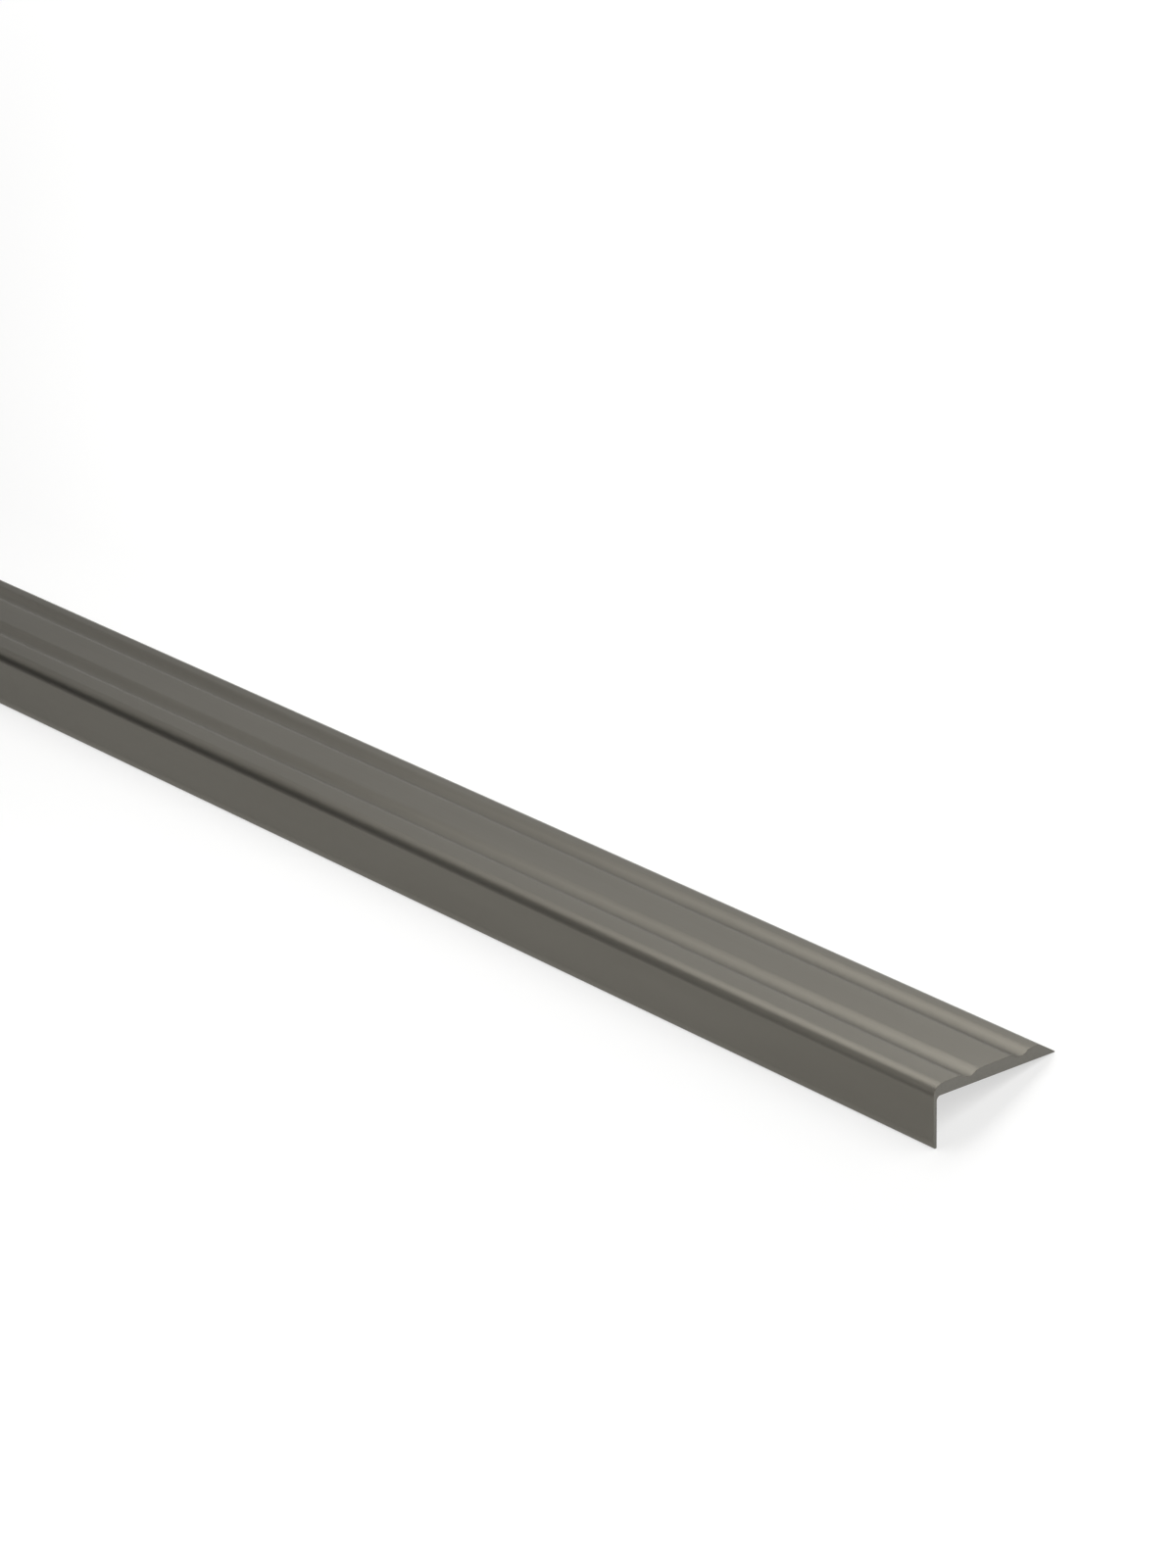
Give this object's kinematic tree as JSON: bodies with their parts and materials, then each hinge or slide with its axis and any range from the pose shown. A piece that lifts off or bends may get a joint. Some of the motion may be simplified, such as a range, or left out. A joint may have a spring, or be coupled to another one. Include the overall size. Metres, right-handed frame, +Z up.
{
  "type": "corner profile",
  "caption": "Anodised aluminium corner profile for a step or floor edge, with a wide fluted leg that feathers out and a short plain front leg.",
  "frame": {"origin": "centre of the bar's footprint, on the level that it lies on", "axes": "+X along the stock, -Y towards the front leg, +Y towards the feathered edge, +Z up; the bar lies unheld on the toe of its front leg and on its feathered edge, so its tread slopes down by about 19 degrees towards +Y"},
  "size_m": [1, 0.0258, 0.0094],
  "materials": {
    "anodised_aluminium": "satin"
  },
  "bodies": {
    "root": {"corner_profile": "anodised_aluminium"}
  },
  "joints": []
}
